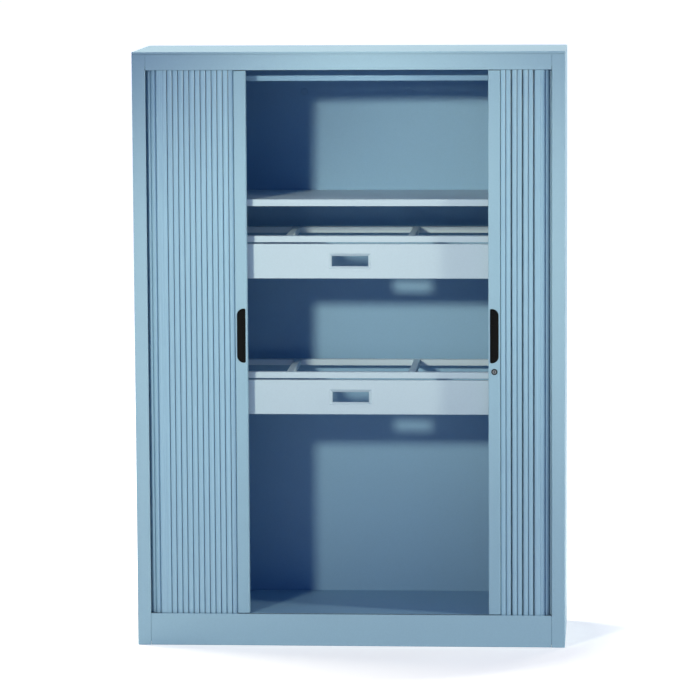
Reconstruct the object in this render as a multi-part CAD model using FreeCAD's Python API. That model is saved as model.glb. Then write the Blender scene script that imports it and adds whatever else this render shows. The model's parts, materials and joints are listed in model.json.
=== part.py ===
import FreeCAD, Part
import math
import os

# Tambour filing cabinet, in millimetres.
# Origin at the middle of the base, +Z up, the doors face -Y, +X to the right of someone facing them.
# A "side" is -1 for the left and +1 for the right; "inset" is a distance inwards from that side's face.

Vector = FreeCAD.Vector
SIDES = {"left": -1, "right": 1}

# Case
width = 1200.0
depth = 420.0
height = 1666.0
sheet = 1.0
fold_radius = 2.2
post_width = 37.0
post_return = 7.0
rear_flange = 25.0
foot_flange = 22.0
plinth_height = 90.0
top_rail_height = 51.0
rail_return = 5.5
rail_lap = 24.0
rail_lap_margin = 11.0
rail_seam = 0.8
cap_lip = 6.0
cap_seam = 1.5
cap_overhang = 1.0
pan_flange = 16.0
back_bead_width = 30.0
back_bead_count = 5
wall_hole_radius = 4.0
wall_hole_spacing = 300.0
wall_hole_drop = 80.0
wall_hole_access_radius = 9.0

# Tambour
slat_pitch = 31.0
slat_gap = 0.4
slat_thickness = 8.6
slat_taper = 2.6
slat_count = 19
rib_groove_width = 3.8
rib_groove_depth = 2.3
rib_chamfer = 1.4
slat_pin_radius = 2.2
slat_running_gap = 1.0
curtain_front_gap = 8.0
curtain_pocket_gap = 22.7
bend_radius = 38.0
rear_run_end = 300.0
left_leading_edge = 315.0
right_leading_edge = 213.0
left_front_slats = 7
right_front_slats = 4

# Tracks
track_wall = 1.2
track_clearance = 0.7
track_height = 12.0
track_base = 1.5
slat_end_clearance = 1.0

# Stiles, grips and lock
stile_width = 33.0
stile_depth = 27.0
stile_wall = 1.5
stile_front_gap = 5.0
stile_radius = 2.5
stile_end_gap = 2.0
grip_width = 24.0
grip_height = 152.0
grip_edge = 4.5
grip_centre = 876.0
grip_depth = 15.0
grip_wall = 1.5
grip_rim = 2.0
grip_big_radius = 19.0
grip_small_radius = 4.0
fit_gap = 0.2
shoe_plug = 25.0
shoe_tongue_length = 12.0
shoe_tongue_setback = 2.0
lock_gap = 2.0
lock_face_radius = 8.5
lock_face_depth = 2.0
lock_body_radius = 7.0
lock_body_depth = 12.0
lock_running_gap = 0.1
lock_case_height = 40.0
key_slot_width = 1.6
key_slot_length = 8.0
key_slot_depth = 5.0
cam_radius = 8.0
cam_thickness = 2.0
cam_pin_radius = 2.0
cam_lost_motion = 1.8
bolt_throw = 8.0
bolt_thickness = 3.0
bolt_height = 24.0
bolt_clearance = 0.6

# Inside
liner_inset = 55.0
liner_edge_inset = 38.0
liner_front_setback = 60.0
liner_hem = 20.0
liner_slot_width = 4.0
liner_slot_height = 14.0
liner_slot_pitch = 38.0
liner_slot_start = 57.0
liner_slot_setback = 26.0
shelf_top = 1254.0
shelf_lip = 19.0
shelf_hem = 12.0
shelf_front_setback = 42.0
shelf_side_gap = 3.0
clip_height = 24.0
clip_width = 15.0
clip_ledge = 14.0
clip_sheet = 1.5
filing_rail_width = 18.0
filing_rail_height = 15.0
filing_rail_drop = 18.0
filing_rail_setback = 69.0
filing_rail_rear_gap = 0.4
bracket_height = 30.0
bracket_width = 34.0

# Roll-out frames
frame_sheet = 1.5
frame_inset = 76.0
frame_front_setback = 45.0
frame_rear_gap = 16.4
upper_frame_top = 1151.0
lower_frame_top = 769.0
bar_height = 17.5
bar_width = 20.0
bar_setback = 5.0
bar_seam = 4.5
panel_height = 97.0
panel_hem = 12.0
hand_slot_width = 102.0
hand_slot_height = 28.0
hand_dish_margin = 8.0
hand_dish_depth = 7.0
side_rail_height = 78.0
panel_flange = 16.0
rail_lip = 14.0
bay_count = 3
runner_height = 46.0
runner_sheet = 1.5
runner_gap = 0.5
runner_reach = 9.0
runner_drop = 30.0
runner_margin = 8.0

# Feet and fasteners
foot_radius = 20.0
foot_pad = 8.0
foot_stem_radius = 5.0
foot_inset = 55.0
rivet_radius = 3.5
rivet_head = 0.8
rivet_pitch = 250.0
rivet_edge = 12.0

half_width = width / 2
front = -depth / 2
back = depth / 2
rear = back - cap_overhang
opening_bottom = plinth_height
opening_top = height - top_rail_height
post_top = height - cap_lip - cap_seam
curtain_front = front + curtain_front_gap + slat_thickness / 2
curtain_back = back - curtain_pocket_gap - slat_thickness / 2
curtain_inset = curtain_pocket_gap + slat_thickness / 2
bend_inset = curtain_inset + bend_radius
bend_sag = bend_radius - math.sqrt(bend_radius**2 - slat_pitch**2 / 4)
track_half = slat_thickness / 2 + track_clearance
track_outside = track_half + track_wall
core_offset = max(track_outside + track_clearance, bend_sag + slat_thickness / 2 + slat_running_gap)
track_bottom = opening_bottom - sheet - track_height
track_top = opening_top + sheet + track_height
pin_bottom = track_bottom + track_base + slat_end_clearance
pin_top = track_top - track_base - slat_end_clearance
slat_bottom = opening_bottom - sheet / 2
slat_top = opening_top + sheet / 2
stile_front = front + stile_front_gap
stile_bottom = opening_bottom + stile_end_gap
stile_top = opening_top - stile_end_gap
core_back = curtain_back - core_offset
liner_front = front + liner_front_setback
liner_face = liner_inset + sheet
frame_front = front + frame_front_setback
frame_rear = core_back - sheet - frame_rear_gap
lock_height = grip_centre - grip_height / 2 - grip_rim - lock_gap - lock_case_height / 2


def place(axis, a, b, along):
    """A point with coordinates a and b across an axis, at a distance along it."""
    if axis == "x":
        return Vector(along, a, b)
    if axis == "y":
        return Vector(a, along, b)
    return Vector(a, b, along)


def box(x0, x1, y0, y1, z0, z1):
    return Part.makeBox(x1 - x0, y1 - y0, z1 - z0, Vector(x0, y0, z0))


def side_box(side, inset0, inset1, y0, y1, z0, z1):
    """A box placed by its insets from one side of the case."""
    x0, x1 = sorted((side * (half_width - inset0), side * (half_width - inset1)))
    return box(x0, x1, y0, y1, z0, z1)


def fused(solids):
    return solids[0].multiFuse(solids[1:]).removeSplitter()


def cylinder(axis, a, b, start, length, radius):
    direction = place(axis, 0, 0, 1)
    return Part.makeCylinder(radius, length, place(axis, a, b, start), direction)


def corner_edges(before, corner, after, radius, to_point):
    """The start, end and arc of one outline corner; the arc is None for a sharp one."""
    if radius <= 0:
        return corner, corner, None
    back_along = (before - corner).normalize()
    on_along = (after - corner).normalize()
    half_angle = back_along.getAngle(on_along) / 2
    cut = radius / math.tan(half_angle)
    start = corner + back_along * cut
    end = corner + on_along * cut
    inward = (back_along + on_along).normalize()
    middle = corner + inward * (radius / math.sin(half_angle) - radius)
    arc = Part.Arc(to_point(start), to_point(middle), to_point(end)).toShape()
    return start, end, arc


def prism(points, radii, axis, start, end):
    """A closed outline with rounded corners, extruded along an axis."""
    flat = [Vector(a, b, 0) for a, b in points]
    count = len(flat)

    def to_point(v):
        return place(axis, v.x, v.y, start)

    corners = [
        corner_edges(flat[i - 1], flat[i], flat[(i + 1) % count], radii[i], to_point) for i in range(count)
    ]
    edges = []
    for i, (_, end_of_corner, arc) in enumerate(corners):
        if arc:
            edges.append(arc)
        next_start = corners[(i + 1) % count][0]
        if (next_start - end_of_corner).Length > 1e-6:
            edges.append(Part.makeLine(to_point(end_of_corner), to_point(next_start)))
    return Part.Face(Part.Wire(edges)).extrude(place(axis, 0, 0, end - start))


def plain_prism(points, axis, start, end):
    return prism(points, [0] * len(points), axis, start, end)


def folded_sheet(points, thickness, axis, start, end, fold=fold_radius):
    """A sheet folded along an open line of points, its thickness to the left of the line."""
    line = [Vector(a, b, 0) for a, b in points]
    runs = [(line[i + 1] - line[i]).normalize() for i in range(len(line) - 1)]
    normals = [Vector(-run.y, run.x, 0) for run in runs]
    other = [line[0] + normals[0] * thickness]
    line_radii = [0]
    other_radii = [0]
    for i in range(1, len(line) - 1):
        both = normals[i - 1] + normals[i]
        other.append(line[i] + both * (thickness / (1 + normals[i - 1].dot(normals[i]))))
        turns_left = runs[i - 1].cross(runs[i]).z > 0
        line_radii.append(fold if turns_left else fold - thickness)
        other_radii.append(fold - thickness if turns_left else fold)
    other.append(line[-1] + normals[-1] * thickness)
    line_radii.append(0)
    other_radii.append(0)
    outline = [(v.x, v.y) for v in line + other[::-1]]
    return prism(outline, line_radii + other_radii[::-1], axis, start, end)


def side_sheet(side, points, thickness, axis, start, end):
    """A folded sheet given by insets and a second coordinate, mirrored to its own side."""
    left = folded_sheet([(inset - half_width, b) for inset, b in points], thickness, axis, start, end)
    return left if side < 0 else left.mirror(Vector(0, 0, 0), Vector(1, 0, 0))


def tray(x0, x1, y0, y1, z_face, z_rim, thickness=sheet, fold=fold_radius):
    """A folded tray: a sheet at z_face with four walls that reach z_rim."""
    low, high = min(z_face, z_rim), max(z_face, z_rim)
    inward = thickness if z_rim > z_face else -thickness
    outer = box(x0, x1, y0, y1, low, high)
    inner_face = z_face + inward
    inner_rim = z_rim + inward
    inner = box(
        x0 + thickness,
        x1 - thickness,
        y0 + thickness,
        y1 - thickness,
        min(inner_face, inner_rim),
        max(inner_face, inner_rim),
    )
    return rounded_tray(outer, z_face, fold).cut(rounded_tray(inner, inner_face, fold - thickness))


def rounded_tray(solid, z_face, radius):
    """Rounds a box's upright edges and the edges round its closed face."""
    chosen = []
    for edge in solid.Edges:
        ends = [v.Point.z for v in edge.Vertexes]
        upright = abs(ends[0] - ends[1]) > 1e-6
        if upright or abs(ends[0] - z_face) < 1e-6:
            chosen.append(edge)
    return solid.makeFillet(radius, chosen)


# The way the slats run, from the middle of the front round to the back


def run_point(distance):
    """Inset and y of the run's centre line, at a distance beyond the start of the front corner."""
    side_length = curtain_back - curtain_front - 2 * bend_radius
    quarter = bend_radius * math.pi / 2
    if distance <= 0:
        return bend_inset - distance, curtain_front
    if distance <= quarter:
        turn = distance / bend_radius
        centre = curtain_front + bend_radius
        return bend_inset - bend_radius * math.sin(turn), centre - bend_radius * math.cos(turn)
    distance -= quarter
    if distance <= side_length:
        return curtain_inset, curtain_front + bend_radius + distance
    distance -= side_length
    if distance <= quarter:
        turn = distance / bend_radius
        centre = curtain_back - bend_radius
        return bend_inset - bend_radius * math.cos(turn), centre + bend_radius * math.sin(turn)
    return bend_inset + distance - quarter, curtain_back


def next_joint(distance):
    """How far along the run the next slat joint lies, one pitch away in a straight line."""
    here = run_point(distance)
    low, high = distance, distance + 2 * slat_pitch
    for _ in range(50):
        middle = (low + high) / 2
        if math.dist(here, run_point(middle)) < slat_pitch:
            low = middle
        else:
            high = middle
    return low


def slat(side, joint, following):
    """One slat between two joints of the run, with two ribs outside and a tapered back."""
    half = (slat_pitch - slat_gap) / 2
    face = slat_thickness / 2
    groove = rib_groove_width / 2
    floor = face - rib_groove_depth
    section = [
        (-half + slat_taper, -face),
        (half - slat_taper, -face),
        (half, 0),
        (half, face - rib_chamfer),
        (half - rib_chamfer, face),
        (groove, face),
        (groove - rib_chamfer, floor),
        (-groove + rib_chamfer, floor),
        (-groove, face),
        (-half + rib_chamfer, face),
        (-half, face - rib_chamfer),
        (-half, 0),
    ]
    middle = [(a + b) / 2 for a, b in zip(joint, following)]
    along = [(b - a) / math.dist(joint, following) for a, b in zip(joint, following)]
    outward = (-along[1], along[0])
    points = []
    for a, n in section:
        inset = middle[0] + a * along[0] + n * outward[0]
        y = middle[1] + a * along[1] + n * outward[1]
        points.append((side * (half_width - inset), y))
    body = plain_prism(points, "z", slat_bottom, slat_top)
    pin_reach = half - slat_pin_radius
    pin_inset = middle[0] - pin_reach * along[0]
    pin_y = middle[1] - pin_reach * along[1]
    pin = cylinder(
        "z", side * (half_width - pin_inset), pin_y, pin_bottom, pin_top - pin_bottom, slat_pin_radius
    )
    return fused([body, pin])


def curtain(side, leading_edge):
    """All slats of one door, counted from its stile."""
    distance = bend_inset - (leading_edge - stile_width)
    slats = []
    for _ in range(slat_count):
        following = next_joint(distance)
        slats.append(slat(side, run_point(distance), run_point(following)))
        distance = following
    return slats


def run_edges(side, offset, z):
    """The run's edges at an offset outwards, from the middle of the front to the end at the back."""
    radius = bend_radius + offset
    diagonal = radius * math.sqrt(0.5)
    front_centre = curtain_front + bend_radius
    back_centre = curtain_back - bend_radius

    def point(inset, y):
        return Vector(side * (half_width - inset), y, z)

    start = point(half_width, curtain_front - offset)
    front_bend = [
        point(bend_inset, curtain_front - offset),
        point(bend_inset - diagonal, front_centre - diagonal),
        point(curtain_inset - offset, front_centre),
    ]
    back_bend = [
        point(curtain_inset - offset, back_centre),
        point(bend_inset - diagonal, back_centre + diagonal),
        point(bend_inset, curtain_back + offset),
    ]
    end = point(rear_run_end, curtain_back + offset)
    edges = [
        Part.makeLine(start, front_bend[0]),
        Part.Arc(*front_bend).toShape(),
        Part.makeLine(front_bend[2], back_bend[0]),
        Part.Arc(*back_bend).toShape(),
        Part.makeLine(back_bend[2], end),
    ]
    return edges, start, end


def run_band(side, inner, outer, z0, z1):
    """A wall that follows the run between two offsets."""
    outer_edges, outer_start, outer_end = run_edges(side, outer, z0)
    inner_edges, inner_start, inner_end = run_edges(side, inner, z0)
    closing = [Part.makeLine(outer_end, inner_end), Part.makeLine(inner_start, outer_start)]
    wire = Part.Wire(Part.__sortEdges__(outer_edges + inner_edges + closing))
    return Part.Face(wire).extrude(Vector(0, 0, z1 - z0))


def track(side, z_base, z_mouth):
    """A grooved track that follows the run, its base at z_base and its mouth at z_mouth."""
    low, high = min(z_base, z_mouth), max(z_base, z_mouth)
    base_top = z_base + math.copysign(track_base, z_mouth - z_base)
    body = run_band(side, -track_outside, track_outside, low, high)
    groove = run_band(side, -track_half, track_half, min(base_top, z_mouth), max(base_top, z_mouth))
    return body.cut(groove)


# Case


def side_panel(side):
    """Side, front post and rear flange folded from one sheet, with a return along the opening."""
    line = [(rear_flange, rear), (0, rear), (0, front), (post_width, front)]
    panel = side_sheet(side, line, sheet, "z", 0, post_top)
    edge = [(post_width - fold_radius, front), (post_width, front), (post_width, front + post_return)]
    hem = side_sheet(side, edge, sheet, "z", opening_bottom, opening_top)
    trimmed = panel.cut(
        side_box(
            side, post_width - fold_radius, post_width, front, front + sheet, opening_bottom, opening_top
        )
    )
    foot = side_box(side, sheet, foot_flange, front + sheet, rear - sheet, 0, sheet)
    return fused([trimmed, hem, foot])


def front_rail(line):
    """A rail between the posts, folded along y and z points, with laps behind the posts."""
    half_length = half_width - post_width - rail_seam
    rail = folded_sheet(line, sheet, "x", -half_length, half_length)
    heights = [z for _, z in line]
    lap = box(
        -half_length - rail_lap,
        half_length + rail_lap,
        front + sheet,
        front + 2 * sheet,
        min(heights) + rail_lap_margin,
        max(heights) - fold_radius,
    )
    return fused([rail, lap])


def plinth():
    line = [
        (front + rail_return, plinth_height),
        (front, plinth_height),
        (front, 0),
        (front + foot_flange, 0),
    ]
    return front_rail(line)


def top_rail():
    return front_rail([(front, post_top), (front, opening_top), (front + rail_return, opening_top)])


def cap():
    return tray(-half_width, half_width, front, back, height, height - cap_lip)


def pan(z_face, z_rim):
    """A pan between the side panels that carries the tracks."""
    reach = half_width - sheet
    return tray(-reach, reach, front + 2 * sheet, rear - 2 * sheet, z_face, z_rim)


def core_panel(z_face, z_rim):
    """The raised floor or the ceiling: a tray inside the tracks, with round corners."""
    radius = bend_radius - core_offset

    def block(margin, z0, z1):
        reach = half_width - curtain_inset - core_offset - margin
        y0 = curtain_front + core_offset + margin
        y1 = core_back - margin
        corners = [(-reach, y0), (reach, y0), (reach, y1), (-reach, y1)]
        return prism(corners, [radius - margin] * 4, "z", z0, z1)

    inner_face = z_face + math.copysign(sheet, z_rim - z_face)
    outer = block(0, min(z_face, z_rim), max(z_face, z_rim))
    inner = block(sheet, min(inner_face, z_rim), max(inner_face, z_rim))
    return outer.cut(inner)


def bead(x, z0, z1):
    """A shallow upright swage, pressed out of the back sheet."""
    half = back_bead_width / 2
    top = half - 2 * sheet
    y = rear - sheet
    ridge = [(x - half, y), (x - top, rear), (x + top, rear), (x + half, y)]
    return plain_prism(ridge, "z", z0, z1)


def back_panel():
    """The outer back, inside the rear flanges, with swages and two wall-fixing holes."""
    reach = half_width - sheet - fold_radius
    panel = box(-reach, reach, rear - 2 * sheet, rear - sheet, sheet, post_top)
    span = 2 * (half_width - rear_flange - back_bead_width)
    beads = []
    for i in range(back_bead_count):
        x = -span / 2 + span * i / (back_bead_count - 1)
        beads.append(bead(x, plinth_height, opening_top - top_rail_height))
    return fused([panel] + beads).cut(wall_holes(wall_hole_radius, rear - 2 * sheet, rear))


def wall_holes(radius, y0, y1):
    z = opening_top - wall_hole_drop
    holes = [
        cylinder("y", offset * wall_hole_spacing / 2, z, y0, y1 - y0, radius) for offset in (-1, 1)
    ]
    return Part.makeCompound(holes)


def inner_back():
    reach = half_width - liner_inset
    panel = box(-reach, reach, core_back - sheet, core_back, opening_bottom, opening_top)
    return panel.cut(wall_holes(wall_hole_access_radius, core_back - sheet, core_back))


def liner(side):
    """The pocket's inner wall, with a folded front edge and two columns of slots."""
    line = [
        (liner_edge_inset, liner_front + liner_hem),
        (liner_edge_inset, liner_front),
        (liner_face, liner_front),
        (liner_face, core_back - sheet),
    ]
    wall = side_sheet(side, line, sheet, "z", opening_bottom, opening_top)
    return wall.cut(liner_slots(side))


def liner_slots(side):
    rows = int((opening_top - opening_bottom - 2 * liner_slot_start) / liner_slot_pitch) + 1
    columns = (liner_front + liner_slot_setback, core_back - liner_slot_setback)
    slots = []
    for y in columns:
        for row in range(rows):
            z = opening_bottom + liner_slot_start + row * liner_slot_pitch
            half = liner_slot_width / 2
            slots.append(
                side_box(
                    side,
                    liner_inset,
                    liner_face,
                    y - half,
                    y + half,
                    z - liner_slot_height / 2,
                    z + liner_slot_height / 2,
                )
            )
    return Part.makeCompound(slots)


def levelling_feet():
    """A pad and a threaded stem under each corner, screwed right in."""
    pan_bottom = track_bottom - sheet
    feet = []
    for side in (-1, 1):
        for y in (front + foot_inset, back - foot_inset):
            x = side * (half_width - foot_inset)
            pad = cylinder("z", x, y, 0, foot_pad, foot_radius)
            stem = cylinder("z", x, y, 0, pan_bottom, foot_stem_radius)
            feet.append(fused([pad, stem]))
    return feet


def shelf():
    """A folded shelf on clips, with deep lips and a turned-in hem at the front."""
    reach = half_width - liner_face - shelf_side_gap
    y0 = front + shelf_front_setback
    y1 = core_back - sheet - fit_gap
    body = tray(-reach, reach, y0, y1, shelf_top, shelf_top - shelf_lip)
    bottom = shelf_top - shelf_lip
    hem = box(
        -reach + fold_radius, reach - fold_radius, y0 + sheet, y0 + shelf_hem, bottom, bottom + sheet
    )
    return fused([body, hem])


def shelf_clip(side, y):
    """A clip hooked into the liner's slots, with a ledge under the shelf's lip."""
    top = shelf_top - shelf_lip
    half = clip_width / 2
    plate = side_box(
        side, liner_face, liner_face + clip_sheet, y - half, y + half, top - clip_height, top
    )
    ledge = side_box(
        side, liner_face, liner_face + clip_ledge, y - half, y + half, top - clip_sheet, top
    )
    return fused([plate, ledge])


def shelf_clips():
    ys = (liner_front + liner_slot_setback, core_back - liner_slot_setback)
    return [shelf_clip(side, y) for side in (-1, 1) for y in ys]


def filing_rail_places():
    half = filing_rail_width / 2
    return (front + filing_rail_setback + half, core_back - sheet - filing_rail_rear_gap - half)


def filing_rails():
    """Two rails under the ceiling for lateral files, open downwards."""
    top = opening_top - filing_rail_drop
    reach = half_width - liner_face - frame_sheet
    rails = []
    for y in filing_rail_places():
        half = filing_rail_width / 2
        line = [
            (y - half, top - filing_rail_height),
            (y - half, top),
            (y + half, top),
            (y + half, top - filing_rail_height),
        ]
        rails.append(folded_sheet(line[::-1], frame_sheet, "x", -reach, reach))
    return rails


def filing_rail_brackets():
    """A plate on the liner with a ledge under each rail end."""
    top = opening_top - filing_rail_drop
    brackets = []
    for side in (-1, 1):
        for y in filing_rail_places():
            half = filing_rail_width / 2 - fold_radius
            plate = side_box(
                side,
                liner_face,
                liner_face + frame_sheet,
                y - half,
                y + half,
                top - bracket_height,
                top,
            )
            ledge = side_box(
                side,
                liner_face,
                liner_face + bracket_width,
                y - half,
                y + half,
                top - 2 * frame_sheet,
                top - frame_sheet,
            )
            brackets.append(fused([plate, ledge]))
    return brackets


def back_rivets():
    """Rivet heads on the rear flanges, which hold the back sheet."""
    low = plinth_height + rivet_edge
    high = opening_top - rivet_edge
    count = int((high - low) / rivet_pitch) + 1
    rivets = []
    for side in (-1, 1):
        x = side * (half_width - rivet_edge)
        for i in range(count):
            z = low + i * (high - low) / (count - 1)
            rivets.append(cylinder("y", x, z, rear, rivet_head, rivet_radius))
    return rivets


# Doors


def stile_span(leading_edge):
    """Insets of the slat side and the leading side of a stile."""
    return leading_edge - stile_width, leading_edge


def grip_points(side, leading_edge, margin):
    """The outline of the grip opening in x and z, with its straight side towards the leading edge."""
    lead = leading_edge - grip_edge + margin
    slat_side = leading_edge - grip_edge - grip_width - margin
    z0 = grip_centre - grip_height / 2 - margin
    z1 = grip_centre + grip_height / 2 + margin
    corners = [(lead, z0), (lead, z1), (slat_side, z1), (slat_side, z0)]
    points = [(side * (half_width - inset), z) for inset, z in corners]
    small = grip_small_radius + margin
    big = grip_big_radius + margin
    return points, [small, small, big, big]


def grip_block(side, leading_edge, margin, y0, y1):
    points, radii = grip_points(side, leading_edge, margin)
    return prism(points, radii, "y", y0, y1)


def grip(side, leading_edge):
    """A black recessed pull: a cup in the stile's face with a rim behind the face."""
    y0 = stile_front
    inside = stile_front + stile_wall
    y1 = y0 + grip_depth
    cup = grip_block(side, leading_edge, -fit_gap, y0, y1)
    rim = grip_block(side, leading_edge, grip_rim, inside, inside + grip_wall)
    hollow = grip_block(side, leading_edge, -fit_gap - grip_wall, y0, y1 - grip_wall)
    return fused([cup, rim]).cut(hollow)


def lock_x(side, leading_edge):
    return side * (half_width - leading_edge + stile_width / 2)


def bolt_y():
    """Front face of the bolt, behind the lock's body."""
    return stile_front + stile_wall + lock_body_depth


def bolt_window(side, inset0, inset1):
    """The clearance cut for the bolt through a stile's leading side."""
    half = bolt_height / 2 + bolt_clearance
    y0 = bolt_y() - bolt_clearance
    y1 = bolt_y() + bolt_thickness + bolt_clearance
    return side_box(side, inset0, inset1, y0, y1, lock_height - half, lock_height + half)


def stile_block(side, leading_edge, margin, z0, z1):
    """A block that fills a stile's section but for a margin, with its corners rounded to match."""
    near, far = stile_span(leading_edge)
    y0 = stile_front + margin
    y1 = stile_front + stile_depth - margin
    corners = [(near + margin, y0), (far - margin, y0), (far - margin, y1), (near + margin, y1)]
    points = [(side * (half_width - inset), y) for inset, y in corners]
    return prism(points, [stile_radius - margin] * 4, "z", z0, z1)


def stile(side, leading_edge):
    """A hollow leading stile with openings for the grip and the bolt."""
    outside = stile_block(side, leading_edge, 0, stile_bottom, stile_top)
    inside = stile_block(side, leading_edge, stile_wall, stile_bottom, stile_top)
    grip_hole = grip_block(side, leading_edge, 0, stile_front, stile_front + stile_wall)
    window = bolt_window(side, leading_edge - stile_wall, leading_edge)
    return outside.cut(inside).cut(grip_hole).cut(window)


def guide_shoes(side, leading_edge):
    """Nylon shoes plugged into the stile's ends, with tongues in the tracks."""
    tongue_end = leading_edge - shoe_tongue_setback
    half_thick = track_half - track_clearance
    shoes = []
    for end, inward, z_track in ((stile_bottom, 1, pin_bottom), (stile_top, -1, pin_top)):
        plug_low, plug_high = sorted((end, end + inward * shoe_plug))
        plug = stile_block(side, leading_edge, stile_wall + fit_gap, plug_low, plug_high)
        tongue = side_box(
            side,
            tongue_end - shoe_tongue_length,
            tongue_end,
            curtain_front - half_thick,
            curtain_front + half_thick,
            min(z_track, end),
            max(z_track, end),
        )
        shoes.append(fused([plug, tongue]))
    return shoes


def strike_plate(side, leading_edge):
    """A plate inside the stile's leading side, with a window for the bolt."""
    far = leading_edge - stile_wall
    half = bolt_height / 2 + 3 * bolt_clearance + stile_wall
    y0 = stile_front + stile_radius
    y1 = stile_front + stile_depth - stile_radius
    plate = side_box(side, far - stile_wall, far, y0, y1, lock_height - half, lock_height + half)
    return plate.cut(bolt_window(side, far - stile_wall, far))


def lock_case(side, leading_edge):
    """The block in the stile that holds the barrel, with a guide slot for the bolt behind it."""
    near, far = stile_span(leading_edge)
    half = lock_case_height / 2
    block = side_box(
        side,
        near + stile_radius,
        far - stile_radius,
        stile_front + stile_wall,
        bolt_y() + bolt_thickness + bolt_clearance,
        lock_height - half,
        lock_height + half,
    )
    x = lock_x(side, leading_edge)
    bore_radius = lock_body_radius + lock_running_gap
    bore = cylinder("y", x, lock_height, stile_front, stile_depth, bore_radius)
    channel = side_box(
        side,
        near,
        far,
        bolt_y() - fit_gap,
        bolt_y() + bolt_thickness + bolt_clearance,
        lock_height - bolt_height / 2 - fit_gap,
        lock_height + bolt_height / 2 + fit_gap,
    )
    return block.cut(bore).cut(channel)


def lock_barrel(side, leading_edge):
    """The round lock body with its face outside the stile and a plain key slot."""
    x = lock_x(side, leading_edge)
    face = cylinder(
        "y", x, lock_height, stile_front - lock_face_depth, lock_face_depth, lock_face_radius
    )
    face = face.makeFillet(lock_face_depth / 3, [e for e in face.Edges if front_circle(e)])
    body = cylinder(
        "y",
        x,
        lock_height,
        stile_front - lock_face_depth / 2,
        lock_face_depth / 2 + stile_wall + lock_body_depth - fit_gap,
        lock_body_radius,
    )
    slot = box(
        x - key_slot_width / 2,
        x + key_slot_width / 2,
        stile_front - lock_face_depth,
        stile_front - lock_face_depth + key_slot_depth,
        lock_height - key_slot_length / 2,
        lock_height + key_slot_length / 2,
    )
    return fused([face, body]).cut(slot)


def front_circle(edge):
    """True for the round edge that faces the front."""
    if edge.Curve.TypeId != "Part::GeomCircle":
        return False
    return abs(edge.CenterOfMass.y - (stile_front - lock_face_depth)) < 1e-6


def lock_cam(side, leading_edge):
    """The arm behind the bolt, with a pin that drives it."""
    x = lock_x(side, leading_edge)
    y0 = bolt_y() + bolt_thickness + bolt_clearance
    arm_half = cam_pin_radius + 1
    hub = cylinder("y", x, lock_height, y0, cam_thickness, arm_half + 1)
    arm = box(
        x - arm_half, x + arm_half, y0, y0 + cam_thickness, lock_height, lock_height + cam_radius
    )
    tip = cylinder("y", x, lock_height + cam_radius, y0, cam_thickness, arm_half)
    pin = cylinder(
        "y", x, lock_height + cam_radius, bolt_y(), bolt_thickness + bolt_clearance, cam_pin_radius
    )
    stem_start = bolt_y() - fit_gap
    stem = cylinder("y", x, lock_height, stem_start, y0 - stem_start, cam_pin_radius)
    return fused([hub, arm, tip, pin, stem])


def lock_bolt(side, leading_edge):
    """The sliding bolt, with windows for the barrel's stem and the cam's pin."""
    half = bolt_height / 2
    tail = leading_edge - stile_width / 2 - cam_pin_radius - cam_lost_motion - stile_wall
    y0 = bolt_y()
    plate = side_box(
        side, tail, leading_edge, y0, y0 + bolt_thickness, lock_height - half, lock_height + half
    )
    x = lock_x(side, leading_edge)
    reach = cam_pin_radius + cam_lost_motion
    pin_window = box(
        x - reach,
        x + reach,
        y0,
        y0 + bolt_thickness,
        lock_height - reach,
        lock_height + cam_radius + cam_pin_radius + fit_gap,
    )
    stem_window = box(
        x - reach,
        x + bolt_throw + reach,
        y0,
        y0 + bolt_thickness,
        lock_height - reach,
        lock_height + reach,
    )
    return plate.cut(pin_window).cut(stem_window)


# Roll-out frames


def frame_bar(top, y_face, inward):
    """A crossbar open downwards; inward is +1 at the front and -1 at the back."""
    reach = half_width - frame_inset
    y0, y1 = sorted((y_face, y_face + inward * bar_width))
    line = [(y1, top - bar_height), (y1, top), (y0, top), (y0, top - bar_height)]
    return folded_sheet(line, frame_sheet, "x", -reach, reach)


def bar_faces():
    """The y of the outer faces of the front and rear crossbars."""
    return frame_front + bar_setback, frame_rear


def frame_panel(top):
    """The front panel: hems above and below and a dished slot for the hand."""
    reach = half_width - frame_inset
    z1 = top - bar_height - bar_seam
    z0 = z1 - panel_height
    y = frame_front
    line = [(y + panel_hem, z0), (y, z0), (y, z1), (y + panel_hem, z1)]
    panel = folded_sheet(line[::-1], frame_sheet, "x", -reach, reach)
    middle = (z0 + z1) / 2
    dish = hand_dish(middle, y, frame_sheet)
    hollow = hand_dish(middle, y, 0)
    return fused([panel, dish]).cut(hollow)


def hand_dish(z, y, wall):
    """A block that narrows inwards from the dish's edge to the hand slot."""
    edge = hand_dish_margin + wall
    outer = rectangle(hand_slot_width / 2 + edge, hand_slot_height / 2 + edge, y, z)
    inner = rectangle(hand_slot_width / 2 + wall, hand_slot_height / 2 + wall, y + hand_dish_depth, z)
    return Part.makeLoft([outer, inner], True, True)


def rectangle(half_x, half_z, y, z):
    corners = [(-half_x, z - half_z), (half_x, z - half_z), (half_x, z + half_z), (-half_x, z + half_z)]
    points = [Vector(a, y, b) for a, b in corners]
    return Part.makePolygon(points + points[:1])


def frame_side_rail(side, top):
    """A side member with a top lip for the file hooks and a flanged arm that carries the panel."""
    y0, y1 = bar_faces()
    lip = frame_inset + bar_width
    low = top - side_rail_height
    line = [(lip, top - rail_lip), (lip, top), (frame_inset, top), (frame_inset, low)]
    rail = side_sheet(side, line, frame_sheet, "y", y0 + bar_width, y1 - bar_width)
    arm_top = top - bar_height - bar_seam - fold_radius
    panel_back = frame_front + frame_sheet
    arm = [
        (frame_inset, y0 + bar_width),
        (frame_inset, panel_back),
        (frame_inset + panel_flange, panel_back),
    ]
    return fused([rail, side_sheet(side, arm, frame_sheet, "z", low, arm_top)])


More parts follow.
